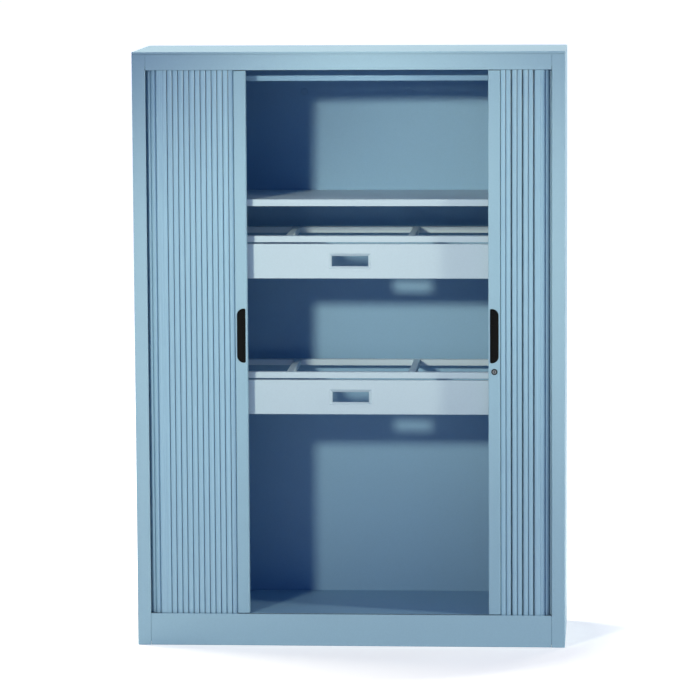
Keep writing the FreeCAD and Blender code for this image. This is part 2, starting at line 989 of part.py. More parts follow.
def frame_side_rails(top):
    return [frame_side_rail(side, top) for side in (-1, 1)]


def bay_rail_places():
    """The x of the intermediate rails between the bays."""
    span = 2 * (half_width - frame_inset) - bar_width
    return [-span / 2 + span * i / bay_count for i in range(1, bay_count)]


def frame_bay_rails(top):
    """Intermediate rails between the crossbars, open downwards."""
    y0, y1 = bar_faces()
    rails = []
    for x in bay_rail_places():
        half = bar_width / 2
        line = [(x - half, top - rail_lip), (x - half, top), (x + half, top), (x + half, top - rail_lip)]
        rails.append(folded_sheet(line[::-1], frame_sheet, "y", y0 + bar_width, y1 - bar_width))
    return rails


def channel(side, inset0, inset1, z, half_height, y0, y1):
    """A C-shaped runner member; its web is at inset0 and its flanges reach inset1."""
    web = math.copysign(runner_sheet, inset1 - inset0)
    outer = side_box(side, inset0, inset1, y0, y1, z - half_height, z + half_height)
    inner_half = half_height - runner_sheet
    inner = side_box(side, inset0 + web, inset1, y0, y1, z - inner_half, z + inner_half)
    return outer.cut(inner)


def runners(top):
    """Cabinet, middle and frame members of one frame's two runners."""
    z = top - bar_height - runner_drop
    y0 = frame_front + runner_margin
    y1 = frame_rear - runner_margin
    half = runner_height / 2
    step = runner_sheet + runner_gap
    members = ([], [], [])
    for side in (-1, 1):
        cabinet_web = liner_face
        middle_web = cabinet_web + step
        members[0].append(channel(side, cabinet_web, cabinet_web + runner_reach, z, half, y0, y1))
        members[1].append(
            channel(side, middle_web, middle_web + runner_reach, z, half - step, y0, y1)
        )
        members[2].append(
            channel(side, frame_inset, middle_web + step, z, half - 2 * step, y0, y1)
        )
    return members


os.makedirs("parts", exist_ok=True)


def save(name, shapes):
    solids = shapes if isinstance(shapes, (list, tuple)) else [shapes]
    shape = solids[0] if len(solids) == 1 else Part.makeCompound(solids)
    shape.exportStep("parts/" + name + ".step")


def save_case():
    for name, side in SIDES.items():
        save(name + "_side_panel", side_panel(side))
        save(name + "_liner", liner(side))
        save(name + "_bottom_track", track(side, track_bottom, opening_bottom - sheet))
        save(name + "_top_track", track(side, track_top, opening_top + sheet))
    save("cap", cap())
    save("top_pan", pan(track_top, height - fold_radius))
    save("base_pan", pan(track_bottom, track_bottom - pan_flange))
    save("plinth", plinth())
    save("top_rail", top_rail())
    save("floor_panel", core_panel(opening_bottom, track_bottom))
    save("ceiling_panel", core_panel(opening_top, track_top))
    save("back_panel", back_panel())
    save("inner_back_panel", inner_back())
    save("back_rivets", back_rivets())
    save("levelling_feet", levelling_feet())
    save("fixed_shelf", shelf())
    save("shelf_clips", shelf_clips())
    save("filing_rails", filing_rails())
    save("filing_rail_brackets", filing_rail_brackets())


def save_doors():
    edges = {"left": left_leading_edge, "right": right_leading_edge}
    front_slats = {"left": left_front_slats, "right": right_front_slats}
    for name, side in SIDES.items():
        edge = edges[name]
        slats = curtain(side, edge)
        save(name + "_front_slats", slats[: front_slats[name]])
        save(name + "_pocket_slats", slats[front_slats[name] :])
        save(name + "_guide_shoes", guide_shoes(side, edge))
        save(name + "_grip", grip(side, edge))
    right = SIDES["right"]
    x = lock_x(right, right_leading_edge)
    lock_hole = cylinder(
        "y", x, lock_height, stile_front, stile_wall, lock_body_radius + lock_running_gap
    )
    save("left_stile", stile(SIDES["left"], left_leading_edge))
    save("right_stile", stile(right, right_leading_edge).cut(lock_hole))
    save("left_strike_plate", strike_plate(SIDES["left"], left_leading_edge))
    save("lock_case", lock_case(right, right_leading_edge))
    save("lock_barrel", lock_barrel(right, right_leading_edge))
    save("lock_cam", lock_cam(right, right_leading_edge))
    save("lock_bolt", lock_bolt(right, right_leading_edge))


def save_frames():
    for name, top in (("upper", upper_frame_top), ("lower", lower_frame_top)):
        face, rear = bar_faces()
        cabinet, middle, moving = runners(top)
        save(name + "_frame_panel", frame_panel(top))
        save(name + "_frame_front_bar", frame_bar(top, face, 1))
        save(name + "_frame_rear_bar", frame_bar(top, rear, -1))
        save(name + "_frame_side_rails", frame_side_rails(top))
        save(name + "_frame_bay_rails", frame_bay_rails(top))
        save(name + "_runner_channels", cabinet)
        save(name + "_runner_middles", middle)
        save(name + "_runner_slides", moving)


save_case()
save_doors()
save_frames()
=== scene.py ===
"""Looks of the tambour filing cabinet: paint, moulded curtain slats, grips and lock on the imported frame.

Shapes are written in millimetres and scaled as their meshes are made. Materials, lamps and the camera are in
metres. An inset is the distance from the outside of the cabinet's side, towards the middle.
"""

import json
import math

import bpy
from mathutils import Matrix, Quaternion, Vector


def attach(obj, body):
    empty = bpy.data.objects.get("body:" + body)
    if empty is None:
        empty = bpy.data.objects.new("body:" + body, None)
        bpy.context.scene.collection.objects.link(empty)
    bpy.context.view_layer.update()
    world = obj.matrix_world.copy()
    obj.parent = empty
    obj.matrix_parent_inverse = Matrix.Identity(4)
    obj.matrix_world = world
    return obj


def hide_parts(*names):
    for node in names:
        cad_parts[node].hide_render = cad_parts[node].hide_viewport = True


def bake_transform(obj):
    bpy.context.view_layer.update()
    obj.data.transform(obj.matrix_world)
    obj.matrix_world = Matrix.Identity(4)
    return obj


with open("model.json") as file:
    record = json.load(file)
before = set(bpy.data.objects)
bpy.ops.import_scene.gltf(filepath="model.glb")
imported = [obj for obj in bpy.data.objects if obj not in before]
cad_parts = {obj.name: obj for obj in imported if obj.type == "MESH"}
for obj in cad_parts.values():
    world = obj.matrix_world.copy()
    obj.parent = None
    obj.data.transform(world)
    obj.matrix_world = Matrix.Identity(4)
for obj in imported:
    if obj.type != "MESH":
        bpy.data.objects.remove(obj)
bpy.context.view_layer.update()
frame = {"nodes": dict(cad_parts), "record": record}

MM = 0.001


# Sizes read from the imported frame


def node_box(name):
    """A node's lowest and highest corner in millimetres."""
    node = frame["nodes"][name]
    points = [node.matrix_world @ vertex.co for vertex in node.data.vertices]
    axes = list(zip(*points))
    return [[round(pick(axis) / MM, 2) for axis in axes] for pick in (min, max)]


def travel(joint_name):
    """How far a sliding joint goes below and above rest, in millimetres."""
    joints = frame["record"]["behaviour"]["joints"]
    low, high = [joint for joint in joints if joint["name"] == joint_name][0]["range_m"]
    return round(-low / MM, 2), round(high / MM, 2)


def insets(name):
    """The insets of a node's inner and outer edge."""
    low, high = node_box(name)
    inner, outer = sorted((abs(low[0]), abs(high[0])))
    return HALF_WIDTH - inner, HALF_WIDTH - outer


HALF_WIDTH = node_box("right_side_panel")[1][0]
STILE_FRONT = node_box("right_stile")[0][1]
INNER_BACK_FRONT = node_box("inner_back_panel")[0][1]

# Curtain: each door has this many slats of its own, and this many of them fill its front when it is closed
SLAT_PITCH = 31.0
SLAT_COUNT = 19
FRONT_SLATS = 15
# Half of a slat's thickness
FACE = 4.3
# The scene's slats stop short of the frame's by this much at each end, inside the tracks
SLAT_TRIM = 10.0
SLAT_BOTTOM = node_box("right_front_slats")[0][2] + SLAT_TRIM
SLAT_TOP = node_box("right_front_slats")[1][2] - SLAT_TRIM
CURTAIN_FRONT = node_box("right_front_slats")[0][1] + FACE
CURTAIN_BACK = node_box("right_pocket_slats")[1][1] - FACE
CURTAIN_INSET = insets("right_pocket_slats")[1] + FACE
BEND_RADIUS = 38.0
BEND_INSET = CURTAIN_INSET + BEND_RADIUS
# How far the slats that wait stand behind the ones in the open, and how near any slat comes to the outside
BEHIND = 0.3
LEAST_INSET = 1.0

# One slat's section, along the curtain from its middle and outward from its centre line
RIB_MIDDLE, RIB_REACH = 7.45, 6.55
RIB_RISE, RIB_FALL = 0.1, 2.3
GROOVE_HALF, GROOVE_FLOOR, PLAIN_GROOVE_FLOOR = 0.85, -1.2, -2.0
TONGUE_ROOT, TONGUE_TIP = 14.05, 15.4
TONGUE_TOP, TONGUE_UNDER = -2.6, -3.4
BACK_HALF = 12.7

# Of each door: its side, the front slats that stand in the open at rest, counted from the stile, the inset of
# the outermost slat that waits behind them, and the slats that widen as the door closes. Each of those has
# its outer and inner inset at rest and its outer inset when the door is closed. Added below: the inset of the
# stile's outer edge at rest, and how far the door opens and closes from there.
DOORS = {
    "left": {
        "sign": -1,
        "shown": (0, 2, 4, 7, 9, 11, 13),
        "last": 65.0,
        "tucked": ((65.0, 85.0, 65.0),),
    },
    "right": {
        "sign": 1,
        "shown": (0, 3, 7, 11),
        "last": 56.0,
        "tucked": ((57.5, 79.0, 70.5), (55.0, 59.5, 55.0)),
    },
}
for side, door in DOORS.items():
    door["tail"] = insets(side + "_stile")[1]
    door["opens"], door["closes"] = travel(side + "_door_slide")

# Grips: the rim of the frame's grip stands this far outside the cup's mouth
GRIP_RIM = 2.0
GRIP_ROUND, GRIP_CORNER = 19.0, 4.0
LEAST_RADIUS = 0.5

# Profiles, as margin or radius and depth behind the stile's front or the inner back's front
GRIP_PROFILE = [
    (-0.2, 2.7), (-0.2, 0.0), (-0.3, -0.4), (-0.75, -0.7), (-1.3, -0.6), (-1.7, 0.0),
    (-1.9, 0.8), (-2.3, 1.5), (-3.0, 1.9), (-4.4, 2.1), (-6.5, 2.2),
]
COLLAR_PROFILE = [
    (7.0, 2.6), (7.0, 0.0), (8.5, 0.0), (8.5, -1.3), (8.3, -1.8), (7.8, -2.0),
    (6.1, -2.0), (5.8, -1.8), (5.7, -1.4), (5.7, -0.9),
]
CORE_PROFILE = [(5.6, 0.0), (5.6, -1.2), (5.3, -1.5)]
KEY_SLOT_PROFILE = [(1.0, 4.2, -1.5), (0.8, 4.0, -1.2), (0.8, 4.0, -0.2)]
PLUG_PROFILE = [(8.6, 1.1), (8.6, 0.3), (10.6, 0.3), (10.5, -0.2), (9.6, -0.8), (6.0, -1.1)]


# Materials


def srgb(r, g, b):
    """A colour written as 8-bit screen values, as linear light."""
    out = []
    for v in (r, g, b):
        c = v / 255
        out.append(c / 12.92 if c <= 0.04045 else ((c + 0.055) / 1.055) ** 2.4)
    return out + [1.0]


def scaled(color, k):
    """A colour made lighter or darker, still opaque."""
    return [c * k for c in color[:3]] + [1.0]


class Graph:
    """A material and short ways to add its nodes."""

    def __init__(self, name):
        self.material = bpy.data.materials.new(name)
        self.material.use_nodes = True
        self.tree = self.material.node_tree
        self.shader = self.tree.nodes["Principled BSDF"]
        self.coords = self.node("ShaderNodeTexCoord").outputs["Object"]

    def node(self, kind, **values):
        """A new node with some of its settings."""
        made = self.tree.nodes.new(kind)
        for key, value in values.items():
            setattr(made, key, value)
        return made

    def link(self, a, b):
        """A link from output a to input b."""
        self.tree.links.new(a, b)

    def stretched(self, x, y, z):
        """Object coordinates scaled along each axis."""
        mapping = self.node("ShaderNodeMapping")
        mapping.inputs["Scale"].default_value = (x, y, z)
        self.link(self.coords, mapping.inputs["Vector"])
        return mapping.outputs["Vector"]

    def noise(self, scale, detail=2.0, vector=None):
        """Noise with this many cells to the metre."""
        made = self.node("ShaderNodeTexNoise")
        made.inputs["Scale"].default_value = scale
        made.inputs["Detail"].default_value = detail
        self.link(vector or self.coords, made.inputs["Vector"])
        return made.outputs["Fac"]

    def spread(self, value, low, high, start=0.3, end=0.7):
        """Maps start..end to low..high. The usual span of a noise is 0.3 to 0.7."""
        made = self.node("ShaderNodeMapRange")
        made.inputs["From Min"].default_value = start
        made.inputs["From Max"].default_value = end
        made.inputs["To Min"].default_value = low
        made.inputs["To Max"].default_value = high
        self.link(value, made.inputs["Value"])
        return made.outputs["Result"]

    def total(self, values):
        """The sum of several outputs."""
        out = values[0]
        for value in values[1:]:
            made = self.node("ShaderNodeMath", operation="ADD")
            self.link(out, made.inputs[0])
            self.link(value, made.inputs[1])
            out = made.outputs[0]
        return out

    def tint(self, amount, dark, light):
        """Colour between dark and light by an amount of 0 to 1."""
        made = self.node("ShaderNodeMix", data_type="RGBA")
        made.inputs["A"].default_value = dark
        made.inputs["B"].default_value = light
        self.link(amount, made.inputs["Factor"])
        self.link(made.outputs["Result"], self.shader.inputs["Base Color"])
        self.shader.inputs["Base Color"].default_value = [(a + b) / 2 for a, b in zip(dark, light)]

    def rough(self, value):
        """Roughness from an output."""
        self.link(value, self.shader.inputs["Roughness"])

    def bump(self, height, distance, strength, edge=0.0):
        """Surface relief; edge is the radius to which sharp edges are rounded in the shading, in metres."""
        made = self.node("ShaderNodeBump")
        made.inputs["Distance"].default_value = distance
        made.inputs["Strength"].default_value = strength
        self.link(height, made.inputs["Height"])
        if edge:
            rounded = self.node("ShaderNodeBevel", samples=4)
            rounded.inputs["Radius"].default_value = edge
            self.link(rounded.outputs["Normal"], made.inputs["Normal"])
        self.link(made.outputs["Normal"], self.shader.inputs["Normal"])


def powder_coat(name, color, speckle=0.05, low=0.4, high=0.52):
    """Fine textured powder coat: grains of about a millimetre, clouds of a few millimetres, orange peel."""
    g = Graph(name)
    grain = g.noise(scale=950, detail=1)
    cloud = g.noise(scale=240)
    broad = g.noise(scale=3.1)
    tones = [g.spread(grain, 0.0, 0.5), g.spread(cloud, 0.0, 0.28), g.spread(broad, 0.0, 0.22)]
    g.tint(g.total(tones), scaled(color, 1 - speckle), scaled(color, 1 + speckle))
    g.rough(g.spread(cloud, low, high))
    g.shader.inputs["Specular IOR Level"].default_value = 0.15
    peel = g.noise(scale=420)
    relief = g.total([g.spread(grain, 0, 0.6), g.spread(peel, 0, 0.4)])
    g.bump(relief, distance=0.00012, strength=0.35, edge=0.0016)
    return g.material


def moulded(name, color, low, high, speckle=0.08, specular=0.5):
    """Moulded plastic: faint flow clouds and a spark-eroded grain."""
    g = Graph(name)
    grain = g.noise(scale=1500, detail=1)
    cloud = g.noise(scale=60)
    g.tint(g.spread(cloud, 0.0, 1.0), scaled(color, 1 - speckle), scaled(color, 1 + speckle))
    g.rough(g.spread(cloud, low, high))
    g.shader.inputs["Specular IOR Level"].default_value = specular
    g.bump(grain, distance=0.00008, strength=0.3)
    return g.material


def extruded(name, color, speckle=0.05, low=0.22, high=0.3):
    """Extruded plastic: fine grain, and faint streaks that run upwards, along the extrusion."""
    g = Graph(name)
    grain = g.noise(scale=900, detail=1)
    streak = g.noise(scale=300, vector=g.stretched(1, 1, 0.012))
    broad = g.noise(scale=2.3)
    tones = [g.spread(grain, 0.0, 0.35), g.spread(streak, 0.0, 0.35), g.spread(broad, 0.0, 0.3)]
    g.tint(g.total(tones), scaled(color, 1 - speckle), scaled(color, 1 + speckle))
    g.rough(g.spread(streak, low, high))
    g.shader.inputs["Specular IOR Level"].default_value = 0.5
    relief = g.total([g.spread(grain, 0, 0.5), g.spread(streak, 0, 0.5)])
    g.bump(relief, distance=0.0001, strength=0.3)
    return g.material


def brushed_metal(name, color, low, high, along):
    """Bright metal with fine lines along one axis and soft clouds of tone."""
    g = Graph(name)
    scale = [1.0, 1.0, 1.0]
    scale[along] = 0.02
    lines = g.noise(scale=700, vector=g.stretched(*scale))
    cloud = g.noise(scale=45, detail=3)
    tone = g.total([g.spread(lines, 0, 0.5), g.spread(cloud, 0, 0.5)])
    g.tint(tone, scaled(color, 0.82), scaled(color, 1.1))
    g.shader.inputs["Metallic"].default_value = 0.92
    g.rough(g.spread(cloud, low, high))
    g.bump(lines, distance=0.00004, strength=0.3)
    return g.material


materials = {
    "case_paint": powder_coat("case_paint", srgb(154, 191, 212)),
    # Painted shade: the inside's paint is darker than the case's, for the shade inside the cabinet
    "inside_paint": powder_coat("inside_paint", srgb(128, 168, 199), speckle=0.06),
    # Painted light: the frames' paint is lighter than the case's, for the light that falls on them
    "frame_paint": powder_coat("frame_paint", srgb(177, 201, 217)),
    "stile_paint": powder_coat("stile_paint", srgb(148, 186, 208)),
    "slat_plastic": extruded("slat_plastic", srgb(145, 186, 211)),
    # Painted shade: a darker slat colour for the floors of the grooves, where shade falls
    "painted_groove_shade": moulded("painted_groove_shade", srgb(92, 116, 136), 0.4, 0.55),
    "track_plastic": moulded("track_plastic", srgb(58, 70, 84), 0.45, 0.6),
    "shoe_nylon": moulded("shoe_nylon", srgb(24, 26, 29), 0.4, 0.55),
    "grip_plastic": moulded("grip_plastic", srgb(8, 10, 11), 0.45, 0.6, speckle=0.15, specular=0.06),
    "foot_plastic": moulded("foot_plastic", srgb(30, 31, 33), 0.45, 0.6),
    "lock_black": moulded("lock_black", srgb(8, 10, 11), 0.3, 0.4, speckle=0.1, specular=0.12),
    "lock_core": brushed_metal("lock_core", srgb(112, 118, 122), 0.3, 0.42, along=0),
    "plated_steel": brushed_metal("plated_steel", srgb(186, 190, 192), 0.3, 0.42, along=2),
    "runner_steel": brushed_metal("runner_steel", srgb(192, 196, 199), 0.26, 0.38, along=1),
    "rivet_metal": brushed_metal("rivet_metal", srgb(198, 200, 202), 0.32, 0.44, along=2),
}

for part in frame["record"]["subparts"]:
    mesh = frame["nodes"][part["node"]].data
    mesh.materials.clear()
    mesh.materials.append(materials[part["material_slot"]])

# The fixed shelf has the lighter paint of the frames, which is painted light
frame["nodes"]["fixed_shelf"].data.materials[0] = materials["frame_paint"]


# Mesh helpers


def solid(name, verts, faces, material, smooth=40.0):
    """A closed mesh in metres, smooth up to an angle in degrees."""
    mesh = bpy.data.meshes.new(name)
    mesh.from_pydata(verts, [], faces)
    mesh.materials.append(materials[material])
    mesh.polygons.foreach_set("use_smooth", [True] * len(mesh.polygons))
    mesh.set_sharp_from_angle(angle=math.radians(smooth))
    made = bpy.data.objects.new(name, mesh)
    bpy.context.scene.collection.objects.link(made)
    return made


def area(loop):
    """The area inside a loop, negative where it runs clockwise."""
    return sum(a[0] * b[1] - b[0] * a[1] for a, b in zip(loop, loop[1:] + loop[:1])) / 2


def upright(name, loop, bottom, top, material):
    """A prism along z from a loop of x, y points, all in millimetres."""
    if area(loop) < 0:
        loop = loop[::-1]
    n = len(loop)
    verts = [(x * MM, y * MM, z * MM) for z in (bottom, top) for x, y in loop]
    faces = [(i, (i + 1) % n, n + (i + 1) % n, n + i) for i in range(n)]
    faces += [tuple(reversed(range(n))), tuple(range(n, 2 * n))]
    return solid(name, verts, faces, material)


def lofted(name, rings, material):
    """A closed skin over rings of x, y, z points in millimetres, which run clockwise as seen from the front
    and go from the back, over the outside, to the middle of the front."""
    n = len(rings[0])
    verts = [tuple(c * MM for c in p) for ring in rings for p in ring]
    faces = [tuple(range(n))]
    for k in range(len(rings) - 1):
        for i in range(n):
            a, b = k * n + i, k * n + (i + 1) % n
            faces.append((a, a + n, b + n, b))
    last = (len(rings) - 1) * n
    faces.append(tuple(last + i for i in reversed(range(n))))
    return solid(name, verts, faces, material)


def clockwise(count):
    """Angles of a full turn, clockwise as seen from the front."""
    return [-2 * math.pi * i / count for i in range(count)]


# Curtains


def run_point(distance):
    """Inset and y of the curtain's centre line, at a distance beyond the start of the front corner."""
    side_length = CURTAIN_BACK - CURTAIN_FRONT - 2 * BEND_RADIUS
    quarter = BEND_RADIUS * math.pi / 2
    if distance <= 0:
        return BEND_INSET - distance, CURTAIN_FRONT
    if distance <= quarter:
        turn = distance / BEND_RADIUS
        middle = CURTAIN_FRONT + BEND_RADIUS
        return BEND_INSET - BEND_RADIUS * math.sin(turn), middle - BEND_RADIUS * math.cos(turn)
    distance -= quarter
    if distance <= side_length:
        return CURTAIN_INSET, CURTAIN_FRONT + BEND_RADIUS + distance
    distance -= side_length
    if distance <= quarter:
        turn = distance / BEND_RADIUS
        middle = CURTAIN_BACK - BEND_RADIUS
        return BEND_INSET - BEND_RADIUS * math.cos(turn), middle + BEND_RADIUS * math.sin(turn)
    return BEND_INSET + distance - quarter, CURTAIN_BACK


def next_joint(distance):
    """How far along the run the next slat joint lies, one pitch away in a straight line."""
    here = run_point(distance)
    low, high = distance, distance + 2 * SLAT_PITCH
    for _ in range(50):
        middle = (low + high) / 2
        if math.dist(here, run_point(middle)) < SLAT_PITCH:
            low = middle
        else:
            high = middle
    return low


def rib_section(groove=GROOVE_FLOOR, width=SLAT_PITCH):
    """One slat's section: two crowned ribs with a groove between them, hinge tongues and a tapered back.
    Points are along the curtain and outward."""
    flank = [0.4, 0.6, 0.72, 0.82, 0.9, 0.96, 1.0]
    across = [-u for u in reversed(flank)] + [0.0] + flank
    right = [(GROOVE_HALF, groove)]
    right += [(RIB_MIDDLE + RIB_REACH * u, FACE + RIB_RISE - RIB_FALL * u**4) for u in across]
    right += [(TONGUE_ROOT, TONGUE_TOP), (TONGUE_TIP, TONGUE_TOP)]
    right += [(TONGUE_TIP, TONGUE_UNDER), (BACK_HALF, -FACE)]
    left = [(-a, n) for a, n in reversed(right)]
    return [(a * width / SLAT_PITCH, n) for a, n in left + right]


def placed(sign, section, joint, following, drop):
    """A section laid between two joints of the curtain and set back by drop, as x, y points."""
    middle = [(a + b) / 2 for a, b in zip(joint, following)]
    length = math.dist(joint, following)
    along = [(b - a) / length for a, b in zip(joint, following)]
    outward = (-along[1], along[0])
    loop = []
    for a, n in section:
        inset = middle[0] + a * along[0] + (n - drop) * outward[0]
        y = middle[1] + a * along[1] + (n - drop) * outward[1]
        loop.append((sign * (HALF_WIDTH - inset), y))
    return loop


def slat(name, sign, section, joint, following, drop=0.0):
    """A slat between two joints, with the floors of its grooves in a darker colour as painted shade."""
    loop = placed(sign, section, joint, following, drop)
    obj = upright(name, loop, SLAT_BOTTOM, SLAT_TOP, "slat_plastic")
    obj.data.materials.append(materials["painted_groove_shade"])
    deepest, tolerance = -3.0, 0.05
    floors = []
    for k, (a, b) in enumerate(zip(section, section[1:] + section[:1])):
        if deepest < a[1] < 0.0 and deepest < b[1] < 0.0:
            p, q = loop[k], loop[(k + 1) % len(loop)]
            floors.append(((p[0] + q[0]) / 2 * MM, (p[1] + q[1]) / 2 * MM))
    for face in obj.data.polygons:
        on_floor = any(math.dist(face.center[:2], floor) < tolerance * MM for floor in floors)
        if on_floor and abs(face.normal[2]) < 0.5:
            face.material_index = 1
    return obj


def follow(obj, side, weight):
    """obj goes with the door if its share of the door's travel is all of it, stays with the cabinet if it is
    none, and otherwise only has its place baked into its mesh.
    """
    least_share = 0.0001
    if weight >= 1 - least_share:
        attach(obj, side + "_door")
    elif weight <= least_share:
        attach(obj, "cabinet")
    else:
        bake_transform(obj)


def draw_out(obj):
    """obj's place is baked into its mesh."""
    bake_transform(obj)


def flat_slat(side, number, outer, closed, groove, drop):
    """A slat in the front, outer at rest and closed when the door is, as insets of its outer edge."""
    door = DOORS[side]
    joint, following = (outer + SLAT_PITCH, CURTAIN_FRONT), (outer, CURTAIN_FRONT)
    name = "%s_slat_%02d" % (side, number)
    obj = slat(name, door["sign"], rib_section(groove), joint, following, drop)
    follow(obj, side, (closed - outer) / door["closes"])
    return obj


def front_slats(side):
    """The slats that fill the front when the door is closed, from the stile outwards, and the last one's inset
    then. Those that are in the open at rest keep their places there, and the others stand just behind them
    until the curtain is drawn out. None of them leaves the cabinet when the door is fully open."""
    door = DOORS[side]
    stretch = door["opens"] / door["closes"]
    first_closed = door["tail"] + door["closes"] - SLAT_PITCH
    step = SLAT_PITCH / 2
    made = []
    for k in range(FRONT_SLATS):
        closed = first_closed - SLAT_PITCH * k
        if k in door["shown"]:
            outer = door["tail"] - SLAT_PITCH * (door["shown"].index(k) + 1)
            made.append(flat_slat(side, k + 1, outer, closed, GROOVE_FLOOR, 0.0))
        else:
            nearest = (LEAST_INSET + stretch * closed) / (1 + stretch)
            outer = door["last"] + max(0, math.ceil((nearest - door["last"]) / step)) * step
            made.append(flat_slat(side, k + 1, outer, closed, PLAIN_GROOVE_FLOOR, BEHIND))
    return made, closed


def widening_slats(side):
    """The slats between the front's last one and the corner."""
    door = DOORS[side]
    made = []
    for k, (outer, inner, closed_outer) in enumerate(door["tucked"]):
        name = "%s_slat_%02d" % (side, FRONT_SLATS + k + 1)
        section = rib_section(PLAIN_GROOVE_FLOOR, inner - outer)
        obj = slat(name, door["sign"], section, (inner, CURTAIN_FRONT), (outer, CURTAIN_FRONT), BEHIND)
        draw_out(obj)
        made.append(obj)
    return made


def pocket_slats(side):
    """The slats that are round the corner and in the pocket at rest, which keep their places."""
    door = DOORS[side]
    made = []
    distance = BEND_INSET - door["tail"]
    for k in range(SLAT_COUNT):
        following = next_joint(distance)
        number = k - len(door["shown"])
        if number >= 0:
            name = side + "_corner_slat" if number == 0 else "%s_pocket_slat_%02d" % (side, number)
            obj = slat(name, door["sign"], rib_section(), run_point(distance), run_point(following))
            follow(obj, side, 0.0)
            made.append(obj)
        distance = following
    return made


def curtain(side):
    """The whole curtain of one door."""
    nodes = (side + "_front_slats", side + "_pocket_slats")
    made, closed = front_slats(side)
    made += widening_slats(side)
    made += pocket_slats(side)
    for obj in made:
        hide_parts(*nodes)


curtain("left")
curtain("right")


# Grips: moulded black cups set into the stiles


def grip_outline(side, margin, steps=10):
    """The D-shaped opening with a margin outside it, straight towards the leading edge, as x, z points."""
    sign = DOORS[side]["sign"]
    near, far = insets(side + "_grip")
    near, far = near - GRIP_RIM + margin, far + GRIP_RIM - margin
    low, high = node_box(side + "_grip")
    bottom, top = low[2] + GRIP_RIM - margin, high[2] - GRIP_RIM + margin
    big = max(GRIP_ROUND + margin, LEAST_RADIUS)
    small = max(GRIP_CORNER + margin, LEAST_RADIUS)
    corners = [
        (near - small, bottom + small, small, -90, 0),
        (near - small, top - small, small, 0, 90),
        (far + big, top - big, big, 90, 180),
        (far + big, bottom + big, big, 180, 270),
    ]
    points = []
    for inset, z, radius, start, end in corners:
        for i in range(steps + 1):
            turn = math.radians(start + (end - start) * i / steps)
            x = sign * (HALF_WIDTH - inset - radius * math.cos(turn))
            points.append((x, z + radius * math.sin(turn)))
    return points if sign < 0 else points[::-1]


def grip(side):
    """The shallow cup of one door."""
    rings = []
    for margin, depth in GRIP_PROFILE:
        rings.append([(x, STILE_FRONT + depth, z) for x, z in grip_outline(side, margin)])
    obj = lofted(side + "_grip_cup", rings, "grip_plastic")
    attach(obj, side + "_door")
    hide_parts(side + "_grip")


grip("left")
grip("right")


# Lock: a black collar round a plain metal core with a bare key slot


def circle(x, y, z, radius, count):
    """A ring for lofted(), round an axis along y."""
    return [(x + radius * math.cos(turn), y, z + radius * math.sin(turn)) for turn in clockwise(count)]


def slot_ring(x, y, z, half_width, half_length, count):
    """The key slot's outline, point for point with circle()."""
    points = []
    for turn in clockwise(count):
        across, up = math.cos(turn), math.sin(turn)
        reach = min(half_width / max(abs(across), 1e-9), half_length / max(abs(up), 1e-9))
        points.append((x + across * reach, y, z + up * reach))
    return points


def lock(count=48):
    """The lock's collar and core, which turn together."""
    low, high = node_box("lock_barrel")
    x, z = (low[0] + high[0]) / 2, (low[2] + high[2]) / 2
    collar_rings = [circle(x, STILE_FRONT + depth, z, radius, count) for radius, depth in COLLAR_PROFILE]
    core_rings = [circle(x, STILE_FRONT + depth, z, radius, count) for radius, depth in CORE_PROFILE]
    for half_width, half_length, depth in KEY_SLOT_PROFILE:
        core_rings.append(slot_ring(x, STILE_FRONT + depth, z, half_width, half_length, count))
    collar = lofted("lock_collar", collar_rings, "lock_black")
    core = lofted("lock_core", core_rings, "lock_core")
    for obj, name in ((collar, "lock_black"), (core, "plated_steel")):
        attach(obj, "lock_barrel")
        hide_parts("lock_barrel")


lock()


# Blanking plugs in the inner back's two access holes, in front of the wall fixings


def plug(name, x, z, count=40):
    """A plug with a domed head, seen from inside the cabinet."""
    rings = [circle(x, INNER_BACK_FRONT + depth, z, radius, count) for radius, depth in PLUG_PROFILE]
    obj = lofted(name, rings, "inside_paint")
    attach(obj, "cabinet")


wall_fixing = [mount for mount in frame["record"]["mounts"] if mount["name"] == "wall_fixing"][0]
fixing_height = wall_fixing["pos_m"][2] / MM
fixing_reach = wall_fixing["dims"]["spacing_x_mm"] / 2
plug("left_hole_plug", -fixing_reach, fixing_height)
plug("right_hole_plug", fixing_reach, fixing_height)


# Floor: white ground that keeps the shadow

GROUND_HALF = 60.0
GROUND_WHITE = 0.9
GLOW_NEAR, GLOW_FAR = 0.4, 1.0
GLOW_START, GLOW_END = 0.68, 1.0


def floor_material():
    """A white surface plus a light that only the view sees, which grows away from the cabinet."""
    g = Graph("studio_floor")
    shader = g.shader
    shader.inputs["Base Color"].default_value = (GROUND_WHITE, GROUND_WHITE, GROUND_WHITE, 1.0)
    shader.inputs["Roughness"].default_value = 0.9
    shader.inputs["Specular IOR Level"].default_value = 0.0
    rays = g.node("ShaderNodeLightPath")
    kinds = ("Is Camera Ray", "Is Glossy Ray", "Is Transmission Ray")
    seen = g.total([rays.outputs[kind] for kind in kinds])
    away = g.node("ShaderNodeVectorMath", operation="LENGTH")
    g.link(g.stretched(1.0, 1.0, 0.0), away.inputs[0])
    strength = g.node("ShaderNodeMath", operation="MULTIPLY")
    g.link(seen, strength.inputs[0])
    grown = g.spread(away.outputs["Value"], GLOW_NEAR, GLOW_FAR, GLOW_START, GLOW_END)
    g.link(grown, strength.inputs[1])
    glow = g.node("ShaderNodeEmission")
    g.link(strength.outputs[0], glow.inputs["Strength"])
    both = g.node("ShaderNodeAddShader")
    g.link(shader.outputs["BSDF"], both.inputs[0])
    g.link(glow.outputs["Emission"], both.inputs[1])
    output = g.tree.nodes["Material Output"]
    g.link(both.outputs["Shader"], output.inputs["Surface"])
    return g.material


